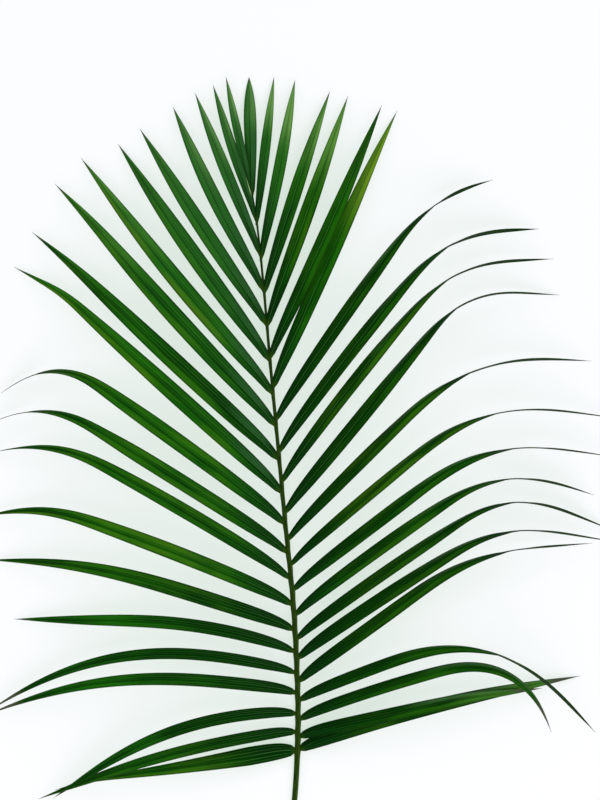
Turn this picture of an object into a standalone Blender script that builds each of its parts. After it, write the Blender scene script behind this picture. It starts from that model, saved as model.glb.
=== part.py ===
"""A cut frond of a feather palm, laid down on a flat surface with its upper side up.

Stalk, rachis, side leaflets and terminal leaflet grew as one piece, so they end up as one
solid. Lengths here are in millimetres: x runs to the right, y from the stalk towards the
tip, z up from the surface. The finished solid is moved so that the middle of its box is
above the origin, and is written in metres.
"""
import math
import random
from collections import namedtuple

import bmesh
import bpy
from mathutils import Vector

MM = 0.001

# Driving dimensions
BLADE = 0.75            # thickness of a leaflet
STALK_WIDTH = 5.7       # stalk and lower rachis
RACHIS_TIP_WIDTH = 2.0  # rachis where it ends
ARCH = 15.0             # how far the rachis lifts off the surface
RISE_DEG = 17.0         # how steeply a leaflet leaves the rachis
FALL_DEG = 15.0         # how steeply its tip comes down
LEFT_FOLD_DEG = 18.0    # slope of each half of a left leaflet, down from its midrib
RIGHT_FOLD_DEG = 34.0   # the same on the right, which is folded more

# Along the rachis
CUT_Y = -60.0
FLAT_END_Y = CUT_Y + 50.0
RACHIS_END_Y = 612.0
TAPER_FROM_Y = 200.0
ARCH_TOP_Y = 340.0
TIP_SINK = 0.45
RACHIS_STEP = 19.0
RACHIS_SIDES = 8

# Along a leaflet
ROOT_STATIONS = (0.0, 6.0, 17.0)
STATION_STEP = 22.0
ROOT_SHARE = 0.3
ROOT_DROP = 4.0         # a leaflet springs from this far below the line it runs on
ROOT_DROP_LENGTH = 10.0
LOWER_WIDENING = 12.0   # a leaflet near the stalk widens over this length
MIDDLE_WIDENING = 30.0  # one in the middle of the frond over this
UPPER_WIDENING = 40.0   # and one near the tip over this
MIDDLE_FROM_Y = 60.0    # between these the leaflets' roots change from lower to middle
MIDDLE_TO_Y = 270.0
UPPER_FROM_Y = 300.0    # and between these from middle to upper
UPPER_TO_Y = 420.0
EDGE_BEFORE = 0.42      # part of its length over which a leaflet turns up on edge
EDGE_SUDDEN = 0.7
TIP_HALF_WIDTH = 0.5
ROOT_FOLD_DEG = 42.0
UNFOLDING_LENGTH = 40.0
PLAN_STEPS = 48
SETTLING_ROUNDS = 12

# The rachis seen from above: y and x of the points that its line runs through
RACHIS_LINE = ((-60, -12), (0, -3.5), (75, 0), (140, -1.5), (200, -5), (280, -13), (360, -20.5),
               (440, -28), (520, -35), (580, -41.5), (612, -47))

# One row for each leaflet, from the frond's tip down: y of its root, x and y of its tip, how
# far its heading sweeps round evenly in degrees (minus is back towards the stalk), how far it
# turns besides at one place, at which part of its length that is, over how much of it, and
# its width from above. Where a leaflet needs them: the part of its length at which it stands
# on edge and over how much it lies down again after it, where it starts to taper, and how
# suddenly.
Row = namedtuple("Row", "root tip_x tip_y sweep turn at over width edge after "
                 "taper_from taper_power", defaults=(0, 0.6, 0.35, 2.3))

LEFT_ROWS = (
    Row(610, -72, 723, 0, 2, 0.5, 0.8, 10.5),
    Row(583, -85, 715, 0, 3, 0.5, 0.8, 11.5),
    Row(548, -103, 707, 0, 2, 0.5, 0.8, 13.4),
    Row(512, -125, 693, 0, 6, 0.5, 0.8, 15.2, taper_power=2.6),
    Row(478, -158, 671, 0, 3, 0.5, 0.8, 16.6),
    Row(442, -180, 656, 0, 3, 0.5, 0.8, 17.8),
    Row(409, -217, 642, 0, 4, 0.5, 0.8, 17.8),
    Row(377, -243, 616, 5, -5, 0.85, 0.3, 18.4, taper_power=2.3),
    Row(343, -266, 568, 2, -5, 0.85, 0.3, 18.3, taper_power=2.1),
    Row(310, -284, 533, 0, -14, 0.84, 0.16, 17.7, taper_power=2.0),
    Row(279, -297, 407, -4, -67, 0.82, 0.34, 16.8, edge=0.89, taper_power=2.6),
    Row(250, -312, 375, -4, -54, 0.825, 0.38, 15.8, edge=0.885),
    Row(224, -313, 346, -8, -38, 0.8, 0.4, 14.5, edge=0.98, taper_power=2.1),
    Row(198, -313, 284, -8, -29, 0.83, 0.4, 15.8),
    Row(173, -312, 240, -5, -14, 0.7, 0.7, 15.6, taper_power=2.0),
    Row(151, -284, 181, 0, -16, 0.35, 0.7, 13, taper_power=2.8),
    Row(130, -311, 88, -8, -38, 0.6, 1.0, 11.5, taper_power=1.9),
    Row(110, -312, 85, -9, -22, 0.65, 0.9, 12.8, taper_power=1.9),
    Row(89.5, -245, 2, 0, -33, 0.45, 1.0, 12),
    Row(71.5, -260, 1, -6, -7, 0.5, 0.8, 12),
    Row(53, -243, 10, 4, -10, 0.85, 0.3, 19, taper_from=0.2, taper_power=1.0),
)
RIGHT_ROWS = (
    Row(579, -24, 723, 0, 0, 0.5, 0.8, 11.8),
    Row(543, -3, 720, 0, 3, 0.5, 0.8, 13.2, taper_power=2.8),
    Row(509, 32, 709, 0, -2, 0.7, 0.8, 14.3),
    Row(476, 50, 704, 0, 1, 0.5, 0.8, 15.5),
    Row(444, 84, 695, -1, 3, 0.5, 0.8, 15),
    Row(414, 99, 689, 0, -2, 0.85, 0.3, 16),
    Row(382, 195, 620, -6, -37, 0.82, 0.44, 13.8, edge=0.8, after=0.2),
    Row(350, 241, 571, -10, -43, 0.76, 0.38, 13.8, edge=0.74, after=0.3, taper_power=2.8),
    Row(320, 255, 541, -11, -42, 0.74, 0.36, 13, edge=0.71, after=0.4),
    Row(289, 261, 505, 0, -54, 0.76, 0.34, 14.5, edge=0.72),
    Row(262, 293, 439, -7, -43, 0.69, 0.52, 12.8, edge=0.67),
    Row(237, 318, 382, -7, -43, 0.66, 0.5, 12, edge=0.68, after=0.8),
    Row(212, 318, 343, -4, -43, 0.66, 0.5, 13.6, edge=0.71, after=1.0),
    Row(187, 296, 305, -9, -48, 0.73, 0.46, 13.4, edge=0.73, after=0.5),
    Row(163, 314, 270, -8, -52, 0.71, 0.38, 12.4, edge=0.7, after=0.5),
    Row(143.5, 318, 258, -8, -38, 0.68, 0.4, 13.6, edge=0.7, after=0.8),
    Row(120.5, 294, 257, 0, -32, 0.65, 0.5, 13.2, edge=0.74),
    Row(102, 297, 68, -10, -61, 0.59, 0.66, 12, edge=0.62, after=0.5),
    Row(83, 253, 68, -13, -80, 0.75, 0.56, 12, taper_power=2.0),
    Row(66, 244, 112, 0, -6, 0.7, 0.3, 13.5),
    Row(53, 282, 124, -5, -4, 0.5, 0.8, 15),
)
TERMINAL_ROW = Row(606, -49, 723, 0, 0, 0.5, 0.8, 15, taper_power=3.6)

# Leaflets that lie over or under a neighbour, and how far they bow up or down for it
BOW = {"R5": 9.0, "R6": -2.0, "R20": 8.0, "R21": -2.0, "R19": 8.0, "R18": 12.0,
       "L19": 13.0, "L20": 6.0, "L21": -2.0, "L1": 3.0, "terminal": -2.0}
# Tips that stay up because the leaflet crosses another one near its end
HELD_TIPS = {"R18": 12.0, "R19": 9.0, "R20": 6.0, "L19": 12.0, "L20": 6.0}
# Tips that the frond stands on, together with the flat of its stalk
RESTING = ("terminal", "L6", "L10", "L15", "R6", "R10", "R15", "L21", "R21")
FREE_TIP_HEIGHTS = (2.0, 8.0)
SEED = 11


def smooth(t):
    """Ease from 0 to 1 as t runs from 0 to 1."""
    t = min(1.0, max(0.0, t))
    return t * t * (3.0 - 2.0 * t)


def rachis_x(y):
    """Sideways place of the rachis line, a smooth curve through RACHIS_LINE."""
    last = len(RACHIS_LINE) - 1
    k = 0
    while k < last - 1 and y > RACHIS_LINE[k + 1][0]:
        k += 1
    slopes = []
    for j in (k, k + 1):
        before = RACHIS_LINE[max(0, j - 1)]
        after = RACHIS_LINE[min(last, j + 1)]
        slopes.append((after[1] - before[1]) / (after[0] - before[0]))
    y0, x0 = RACHIS_LINE[k]
    y1, x1 = RACHIS_LINE[k + 1]
    span = y1 - y0
    t = (y - y0) / span
    blend = smooth(t)
    curl = t * (1.0 - t) * span * (slopes[0] * (1.0 - t) - slopes[1] * t)
    return x0 + (x1 - x0) * blend + curl


def rachis_width(y):
    """Width of the rachis, even in the stalk and then narrowing to the tip."""
    part = max(0.0, y - TAPER_FROM_Y) / (RACHIS_END_Y - TAPER_FROM_Y)
    return STALK_WIDTH + (RACHIS_TIP_WIDTH - STALK_WIDTH) * part


def rachis_centre(y):
    """Centre of the rachis in space. Its underside is on the surface up to FLAT_END_Y."""
    lift = ARCH * smooth((y - FLAT_END_Y) / (ARCH_TOP_Y - FLAT_END_Y))
    lift *= 1.0 - TIP_SINK * smooth((y - ARCH_TOP_Y) / (RACHIS_END_Y - ARCH_TOP_Y))
    return Vector((rachis_x(y), y, lift + rachis_width(y) / 2.0))


def bent_line(start, end, row, side):
    """Line from start to end seen from above: an even sweep, and a turn about one place."""
    x, y = 0.0, 0.0
    points = [(x, y)]
    for k in range(PLAN_STEPS):
        along = (k + 0.5) / PLAN_STEPS
        heading = math.radians(row.turn) * smooth((along - row.at) / row.over + 0.5)
        heading += math.radians(row.sweep) * along
        x += math.cos(heading)
        y += math.sin(heading)
        points.append((x, y))
    out = (end[0] - start[0]) * side
    up = end[1] - start[1]
    scale = math.hypot(out, up) / math.hypot(x, y)
    turn = math.atan2(up, out) - math.atan2(y, x)
    cos, sin = math.cos(turn) * scale, math.sin(turn) * scale
    line = [(start[0] + side * (px * cos - py * sin), start[1] + px * sin + py * cos)
            for px, py in points]
    return line, scale * PLAN_STEPS


def point_on(line, along):
    """Point of a line of even steps, at a part of its length."""
    place = along * (len(line) - 1)
    k = min(int(place), len(line) - 2)
    part = place - k
    return [line[k][j] + (line[k + 1][j] - line[k][j]) * part for j in (0, 1)]


def stations(length):
    """Distances from the root at which a leaflet gets a cross-section."""
    start = ROOT_STATIONS[-1]
    count = max(5, round((length - start) / STATION_STEP))
    return list(ROOT_STATIONS) + [start + (length - start) * (k + 1) / count for k in range(count)]


def half_width(distance, length, row):
    """Half the width of a leaflet: narrow at the root, widest before its middle, then tapering."""
    middle = smooth((row.root - MIDDLE_FROM_Y) / (MIDDLE_TO_Y - MIDDLE_FROM_Y))
    upper = smooth((row.root - UPPER_FROM_Y) / (UPPER_TO_Y - UPPER_FROM_Y))
    widening = LOWER_WIDENING + (MIDDLE_WIDENING - LOWER_WIDENING) * middle
    widening += (UPPER_WIDENING - MIDDLE_WIDENING) * upper
    widened = 1.0 - (1.0 - ROOT_SHARE) * math.exp(-distance / widening)
    past = max(0.0, distance / length - row.taper_from) / (1.0 - row.taper_from)
    tapered = 1.0 - past ** row.taper_power
    width = max(TIP_HALF_WIDTH, row.width / 2.0 * widened * tapered)
    if distance == 0.0:
        width = min(width, 0.32 * rachis_width(row.root))
    return width


def fold_angle(distance, length, side):
    """Slope of each half: steep at the root, even along the leaflet, flat near the tip."""
    middle = LEFT_FOLD_DEG if side < 0 else RIGHT_FOLD_DEG
    root_part = math.exp(-distance / UNFOLDING_LENGTH)
    fold = middle + (ROOT_FOLD_DEG - middle) * root_part
    fold *= 1.0 - 0.85 * smooth((distance / length - 0.3) / 0.5)
    return math.radians(fold)


def roll_angle(along, row):
    """Turn of the blade about its own line: 90 degrees where it stands on edge."""
    if not row.edge:
        return 0.0
    before = min(1.0, max(0.0, (row.edge - along) / EDGE_BEFORE)) ** EDGE_SUDDEN
    after = min(1.0, max(0.0, (along - row.edge) / row.after))
    return math.radians(90.0) * (1.0 - before + after)


def blade_section(half, fold):
    """Six points of a roof-shaped cross-section, as (sideways, upwards) from its margins."""
    ridge = half * math.tan(fold)
    deep = BLADE / math.cos(fold)
    return ((-half, 0.0), (0.0, ridge), (half, 0.0),
            (half, -deep), (0.0, ridge - deep), (-half, -deep))


def leaflet_height(along, start_z, end_z, length, bow):
    """Height along a leaflet, which rises from its root and bends down to its tip."""
    s = along
    rise = math.tan(math.radians(RISE_DEG)) * length
    fall = -math.tan(math.radians(FALL_DEG)) * length
    low = (2 * s ** 3 - 3 * s ** 2 + 1) * start_z + (3 * s ** 2 - 2 * s ** 3) * end_z
    curve = (s ** 3 - 2 * s ** 2 + s) * rise + (s ** 3 - s ** 2) * fall
    return low + curve + bow * 4.0 * s * (1.0 - s)


def place_section(centre, ahead, half, fold, roll):
    """Put a blade's cross-section into space, square to the way the leaflet runs."""
    sideways = ahead.cross(Vector((0.0, 0.0, 1.0))).normalized()
    upwards = sideways.cross(ahead).normalized()
    cos, sin = math.cos(roll), math.sin(roll)
    across = sideways * cos + upwards * sin
    out = upwards * cos - sideways * sin
    return [centre + across * u + out * v for u, v in blade_section(half, fold)]


def leaflet_rings(name, row, side, tip_height):
    """Cross-sections of one leaflet, from inside the rachis to its tip."""
    root = rachis_centre(row.root)
    line, length = bent_line(root.to_2d(), (row.tip_x, row.tip_y), row, side)
    distances = stations(length)
    bow = BOW.get(name, 0.0)
    centres = []
    for distance in distances:
        along = distance / length
        x, y = point_on(line, along)
        drop = ROOT_DROP * math.exp(-distance / ROOT_DROP_LENGTH)
        z = leaflet_height(along, root.z, tip_height, length, bow)
        centres.append(Vector((x, y - drop, z)))
    rings = []
    for k, distance in enumerate(distances):
        ahead = centres[min(k + 1, len(centres) - 1)] - centres[max(k - 1, 0)]
        half = half_width(distance, length, row)
        fold = fold_angle(distance, length, side)
        roll = side * roll_angle(distance / length, row)
        rings.append(place_section(centres[k], ahead.normalized(), half, fold, roll))
    wanted = 0.0 if name in RESTING else tip_height / 2.0
    if name in RESTING or lowest_outer(rings, distances, length)[0] < wanted:
        settle(rings, distances, length, wanted)
    return rings


def lowest_outer(rings, distances, length):
    """Lowest height in the outer half of a leaflet, and how far out it is."""
    heights = [(point.z, distance / length) for ring, distance in zip(rings, distances)
               for point in ring if distance > length / 2.0]
    return min(heights)


def settle(rings, distances, length, wanted):
    """Raise or lower a leaflet's outer part until its lowest point is at the wanted height."""
    for _ in range(SETTLING_ROUNDS):
        lowest, along = lowest_outer(rings, distances, length)
        change = (wanted - lowest) / along ** 2
        for ring, distance in zip(rings, distances):
            for point in ring:
                point.z += change * (distance / length) ** 2


def rachis_rings():
    """Cross-sections of stalk and rachis: regular polygons standing on one flat side."""
    count = round((FLAT_END_Y - CUT_Y) / RACHIS_STEP)
    flat = [CUT_Y + (FLAT_END_Y - CUT_Y) * k / count for k in range(count)]
    count = round((RACHIS_END_Y - FLAT_END_Y) / RACHIS_STEP)
    free = [FLAT_END_Y + (RACHIS_END_Y - FLAT_END_Y) * k / count for k in range(count + 1)]
    rings = []
    for y in flat + free:
        reach = rachis_width(y) / 2.0 / math.cos(math.pi / RACHIS_SIDES)
        centre = rachis_centre(y)
        ahead = Vector((rachis_x(y + 1.0) - rachis_x(y - 1.0), 2.0, 0.0)).normalized()
        sideways = ahead.cross(Vector((0.0, 0.0, 1.0)))
        ring = []
        for k in range(RACHIS_SIDES):
            angle = math.pi * (2 * k + 1) / RACHIS_SIDES
            offset = sideways * math.cos(angle) * reach
            ring.append(centre + offset + Vector((0.0, 0.0, math.sin(angle) * reach)))
        rings.append(ring)
    return rings


def skin(name, rings, mirrored):
    """Closed mesh object over a row of rings, every side split by the same diagonal."""
    mesh = bmesh.new()
    rows = [[mesh.verts.new(point * MM) for point in ring] for ring in rings]
    count = len(rows[0])
    for lower, upper in zip(rows, rows[1:]):
        for k in range(count):
            n = (k + 1) % count
            if mirrored(k):
                mesh.faces.new((lower[k], lower[n], upper[k]))
                mesh.faces.new((lower[n], upper[n], upper[k]))
            else:
                mesh.faces.new((lower[k], lower[n], upper[n]))
                mesh.faces.new((lower[k], upper[n], upper[k]))
    mesh.faces.new(list(reversed(rows[0])))
    mesh.faces.new(rows[-1])
    bmesh.ops.recalc_face_normals(mesh, faces=mesh.faces)
    bmesh.ops.triangulate(mesh, faces=[face for face in mesh.faces if len(face.verts) > 3])
    data = bpy.data.meshes.new(name)
    mesh.to_mesh(data)
    mesh.free()
    return bpy.data.objects.new(name, data)


def make_leaflets(group):
    """Put every leaflet of both sides, and the terminal one, into a collection."""
    draw = random.Random(SEED)
    named = [("L%d" % (k + 1), row, -1) for k, row in enumerate(LEFT_ROWS)]
    named += [("R%d" % (k + 1), row, 1) for k, row in enumerate(RIGHT_ROWS)]
    named.append(("terminal", TERMINAL_ROW, -1))
    for name, row, side in named:
        tip_height = HELD_TIPS.get(name, draw.uniform(*FREE_TIP_HEIGHTS))
        rings = leaflet_rings(name, row, side, tip_height)
        group.objects.link(skin("leaflet_" + name, rings, lambda k: k in (0, 4, 5)))


def join(frond, group):
    """Unite the rachis with all leaflets in the collection, then drop the collection."""
    modifier = frond.modifiers.new("union", "BOOLEAN")
    modifier.operation = "UNION"
    modifier.operand_type = "COLLECTION"
    modifier.collection = group
    modifier.solver = "MANIFOLD"
    bpy.context.view_layer.update()
    evaluated = frond.evaluated_get(bpy.context.evaluated_depsgraph_get())
    joined = bpy.data.meshes.new_from_object(evaluated)
    frond.modifiers.remove(modifier)
    frond.data = joined
    for item in list(group.objects):
        bpy.data.objects.remove(item)
    bpy.data.collections.remove(group)


def centre_over_origin(frond):
    """Move the solid so that the middle of its box is over the origin, on z = 0."""
    xs = [vertex.co.x for vertex in frond.data.vertices]
    ys = [vertex.co.y for vertex in frond.data.vertices]
    zs = [vertex.co.z for vertex in frond.data.vertices]
    shift = Vector(((min(xs) + max(xs)) / 2.0, (min(ys) + max(ys)) / 2.0, min(zs)))
    for vertex in frond.data.vertices:
        vertex.co -= shift
    print("box middle in the plan, mm:", [round(value / MM, 3) for value in shift])
    print("box, mm:", [round((max(v) - min(v)) / MM, 2) for v in (xs, ys, zs)])


def leaf_material():
    """Plain leaf green."""
    material = bpy.data.materials.new("leaf_green")
    material.use_nodes = True
    shader = material.node_tree.nodes["Principled BSDF"]
    shader.inputs["Base Color"].default_value = (0.03, 0.13, 0.02, 1.0)
    shader.inputs["Roughness"].default_value = 0.45
    return material


def main():
    for item in list(bpy.data.objects):
        bpy.data.objects.remove(item)
    group = bpy.data.collections.new("leaflets")
    bpy.context.scene.collection.children.link(group)
    make_leaflets(group)
    frond = skin("frond", rachis_rings(), lambda k: False)
    bpy.context.scene.collection.objects.link(frond)
    join(frond, group)
    centre_over_origin(frond)
    frond.data.materials.clear()
    frond.data.materials.append(leaf_material())


main()
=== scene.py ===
"""The looks of the palm frond: fine leaflets, rachis, cut end and a small scale over the frame.

Plan, heights, fold and roll are those of the part's own source, so lengths are in
millimetres in the frond's plan: x to the right, y from the stalk towards the tip, z up. The
meshes are moved by MIDDLE into the row frame and written in metres.
"""

import math
import random
from collections import namedtuple

import bpy
import numpy as np
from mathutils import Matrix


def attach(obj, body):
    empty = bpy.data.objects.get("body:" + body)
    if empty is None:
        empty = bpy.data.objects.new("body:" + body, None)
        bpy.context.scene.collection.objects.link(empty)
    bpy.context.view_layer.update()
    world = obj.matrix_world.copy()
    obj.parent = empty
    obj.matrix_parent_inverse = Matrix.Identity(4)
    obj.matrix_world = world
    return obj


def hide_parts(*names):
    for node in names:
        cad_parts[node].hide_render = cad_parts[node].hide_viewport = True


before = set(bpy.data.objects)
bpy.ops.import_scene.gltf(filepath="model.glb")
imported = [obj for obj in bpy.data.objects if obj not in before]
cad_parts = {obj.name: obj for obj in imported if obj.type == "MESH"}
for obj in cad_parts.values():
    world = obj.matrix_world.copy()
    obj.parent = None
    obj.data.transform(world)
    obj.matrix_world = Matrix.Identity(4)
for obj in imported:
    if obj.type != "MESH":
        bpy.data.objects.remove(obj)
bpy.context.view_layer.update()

MM = 0.001
MIDDLE = (2.519, 331.346)   # middle of the solid's box in the plan
UP = np.array((0.0, 0.0, 1.0))

# Driving dimensions, as in the part's source
STALK_WIDTH = 5.7         # stalk and lower rachis
RACHIS_TIP_WIDTH = 2.0    # rachis where it ends
ARCH = 15.0               # how far the rachis lifts off the surface
RISE_DEG = 17.0           # how steeply a leaflet leaves the rachis
FALL_DEG = 15.0           # how steeply its tip comes down
LEFT_FOLD_DEG = 18.0      # slope of each half of a left leaflet, down from its midrib
RIGHT_FOLD_DEG = 34.0     # the same on the right, which is folded more

# Along the rachis, as in the part's source
CUT_Y = -60.0
FLAT_END_Y = CUT_Y + 50.0
RACHIS_END_Y = 612.0
TAPER_FROM_Y = 200.0      # the rachis narrows from here to its end
ARCH_TOP_Y = 340.0
TIP_SINK = 0.45           # share of the arch that is lost again at the end of the rachis

# Along a leaflet, as in the part's source
ROOT_SHARE = 0.3          # width of a leaflet at its root, as a share of its full width
ROOT_DROP = 4.0           # a leaflet springs from this far below the line it runs on
ROOT_DROP_LENGTH = 10.0
LOWER_WIDENING = 12.0     # a leaflet near the stalk widens over this length
MIDDLE_WIDENING = 30.0    # one in the middle of the frond over this
UPPER_WIDENING = 40.0     # and one near the tip over this
MIDDLE_FROM_Y = 60.0      # between these the leaflets' roots change from lower to middle
MIDDLE_TO_Y = 270.0
UPPER_FROM_Y = 300.0      # and between these from middle to upper
UPPER_TO_Y = 420.0
EDGE_BEFORE = 0.42        # part of its length over which a leaflet turns up on edge
EDGE_SUDDEN = 0.7         # below 1 the turn quickens towards its end
ROOT_FOLD_DEG = 42.0
UNFOLDING_LENGTH = 40.0
FLATTENING = 0.85         # share of its fold that a blade loses towards its tip
FLATTENING_FROM = 0.3     # part of its length at which it starts to
FLATTENING_OVER = 0.5     # and over which it does
PLAN_STEPS = 48
SETTLING_ROUNDS = 12

# Where a leaflet gets its cross-sections
STATION_STEP = 3.4
FEWEST_STATIONS = 8
ROOT_STEP = 1.6
ROOT_ZONE = 18.0
TIP_ZONE = 14.0
TIP_STATIONS = 8
TIP_CROWDING = 1.4        # how much closer they lie towards the very tip

# Fine form of a leaflet
RIB_THICKNESS = 0.55      # blade at its midrib
MARGIN_THICKNESS = 0.26   # blade at its margin
NARROW_SHARE = 0.4        # share of that thickness that a very narrow blade has
MIDRIB_RISE = 0.32
LOWER_RIB_SHARE = 1.3     # midrib below, as a share of the midrib above
NERVE_RISE = 0.12
SECOND_NERVE_SHARE = 0.7
GROOVE_DEPTH = 0.05
FULL_RELIEF_HALF = 5.0    # half width from which ribs and nerves have their full height
FOLD_ROUNDING = 0.05      # how round the fold is at the midrib, as a share of the half
HALF_BELLY = 0.16         # how far each half curves up between midrib and margin
TIP_HALF_WIDTH = 0.16
CUSHION_HALF_HEIGHT = 0.95   # swollen joint where a leaflet leaves the rachis
CUSHION_HALF_WIDTH = 1.25
CUSHION_LENGTH = 6.5

# Places across half a blade, from its midrib at 0 to its margin at 1
MIDRIB_REACH = 0.07
GROOVE_PLACE = 1.6 * MIDRIB_REACH
LIT_RIB_PLACE = 0.06      # the pale midrib, painted as a highlight on its side towards the frond's tip
SHADED_RIB_PLACE = -0.07    # and painted shade on the other
FIRST_NERVE = 0.4
SECOND_NERVE = 0.72
NERVE_REACH = 0.035
UPPER_HALF = (0.0, 0.03, 0.055, 0.08, 0.115, 0.17, 0.26, 0.355, 0.38, 0.4, 0.42, 0.445,
              0.56, 0.675, 0.7, 0.72, 0.74, 0.765, 0.86, 0.94, 0.98, 1.0)
LOWER_HALF = (0.0, 0.04, 0.08, 0.14, 0.26, 0.4, 0.56, 0.72, 0.86, 0.95, 1.0)

# Gentle waves along a leaflet: their lengths, and how far they go to either side
Wave = namedtuple("Wave", "lengths size")
HEIGHT_WAVE = Wave((61.0, 97.0), 0.45)
ROLL_WAVE = Wave((83.0, 139.0), math.radians(4.0))
FOLD_WAVE = Wave((71.0, 127.0), math.radians(3.0))
STILL_ROOT = 0.15         # parts of its length over which the waves begin and end
STILL_TIP = 0.1

# Fine form of the rachis
RACHIS_STEP = 2.4
RACHIS_POINTS = 28
NODE_RISE = 0.55          # swelling of the rachis at the root of a leaflet
NODE_LENGTH = 5.0
CHANNEL_DEPTH = 0.5       # channel along the top of the stalk
RIDGE_RISE = 0.35         # ridge along the top of the rachis
RIDGE_NARROWING = 6       # a higher power makes it narrower
SIDE_GROOVE = 0.22        # depth of the groove along each side of the rachis
GROOVE_NARROWING = 10
STALK_TOP_Y = 30.0        # the channel gives way to the ridge from here
STALK_FADE = 90.0         # over this length

# The small scale beside the terminal leaflet's base
SCALE_FROM = (-45.5, 600.0, 14.0)
SCALE_TO = (-51.5, 621.5, 19.5)
SCALE_HALF_WIDTH = 0.7
SCALE_FOOT_SHARE = 0.25   # its width at the foot, as a share of the full width
SCALE_FULLNESS = 0.7      # below 1 it is widest in its lower half
SCALE_NARROWING = 0.6
SCALE_FLATNESS = 0.4
SCALE_RINGS = 16
SCALE_POINTS = 10

# The photograph: its size in pixels, of which one is a millimetre on the surface
PICTURE_WIDTH = 600.0
PICTURE_HEIGHT = 800.0
PICTURE_LEFT_X = -298.0
CAMERA_HEIGHT = 10000.0
SENSOR = 36.0
CAMERA_REACH = 100.0      # metres

# Floor and light: places and sizes in metres, power in watts
FLOOR_HALF = 15.0
FLOOR_REFLECTS = (0.311, 0.221, 0.316)
FLOOR_GLOWS = (0.80, 1.0, 0.815)
FLOOR_GLOW_STRENGTH = 0.674
FLOOR_ROUGHNESS = 0.8
FLOOR_SPECULAR = 0.1
SURROUNDING = (0.94, 0.965, 1.0)
Lamp = namedtuple("Lamp", "name place size power colour glossy")
KEY_LAMP = Lamp("key", (0.5, -2.6, 2.9), 3.4, 105.0, (1.0, 0.995, 0.98), False)
SHEEN_LAMP = Lamp("sheen", (1.6, 2.2, 1.8), 1.6, 20.0, (0.95, 0.98, 1.0), True)

# The rachis seen from above: y and x of the points that its line runs through
RACHIS_LINE = ((-60, -12), (0, -3.5), (75, 0), (140, -1.5), (200, -5), (280, -13), (360, -20.5),
               (440, -28), (520, -35), (580, -41.5), (612, -47))

# One row for each leaflet, from the frond's tip down: y of its root, x and y of its tip, how
# far its heading sweeps round evenly in degrees (minus is back towards the stalk), how far it
# turns besides at one place, at which part of its length that is, over how much of it, and
# its width from above. Where a leaflet needs them: the part of its length at which it stands
# on edge and over how much it lies down again after it, where it starts to taper, and how
# suddenly.
Row = namedtuple("Row", "root tip_x tip_y sweep turn at over width edge after "
                 "taper_from taper_power", defaults=(0, 0.6, 0.35, 2.3))

LEFT_ROWS = (
    Row(610, -72, 723, 0, 2, 0.5, 0.8, 10.5),
    Row(583, -85, 715, 0, 3, 0.5, 0.8, 11.5),
    Row(548, -103, 707, 0, 2, 0.5, 0.8, 13.4),
    Row(512, -125, 693, 0, 6, 0.5, 0.8, 15.2, taper_power=2.6),
    Row(478, -158, 671, 0, 3, 0.5, 0.8, 16.6),
    Row(442, -180, 656, 0, 3, 0.5, 0.8, 17.8),
    Row(409, -217, 642, 0, 4, 0.5, 0.8, 17.8),
    Row(377, -243, 616, 5, -5, 0.85, 0.3, 18.4, taper_power=2.3),
    Row(343, -266, 568, 2, -5, 0.85, 0.3, 18.3, taper_power=2.1),
    Row(310, -284, 533, 0, -14, 0.84, 0.16, 17.7, taper_power=2.0),
    Row(279, -297, 407, -4, -67, 0.82, 0.34, 16.8, edge=0.89, taper_power=2.6),
    Row(250, -312, 375, -4, -54, 0.825, 0.38, 15.8, edge=0.885),
    Row(224, -313, 346, -8, -38, 0.8, 0.4, 14.5, edge=0.98, taper_power=2.1),
    Row(198, -313, 284, -8, -29, 0.83, 0.4, 15.8),
    Row(173, -312, 240, -5, -14, 0.7, 0.7, 15.6, taper_power=2.0),
    Row(151, -284, 181, 0, -16, 0.35, 0.7, 13, taper_power=2.8),
    Row(130, -311, 88, -8, -38, 0.6, 1.0, 11.5, taper_power=1.9),
    Row(110, -312, 85, -9, -22, 0.65, 0.9, 12.8, taper_power=1.9),
    Row(89.5, -245, 2, 0, -33, 0.45, 1.0, 12),
    Row(71.5, -260, 1, -6, -7, 0.5, 0.8, 12),
    Row(53, -243, 10, 4, -10, 0.85, 0.3, 19, taper_from=0.2, taper_power=1.0),
)
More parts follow.
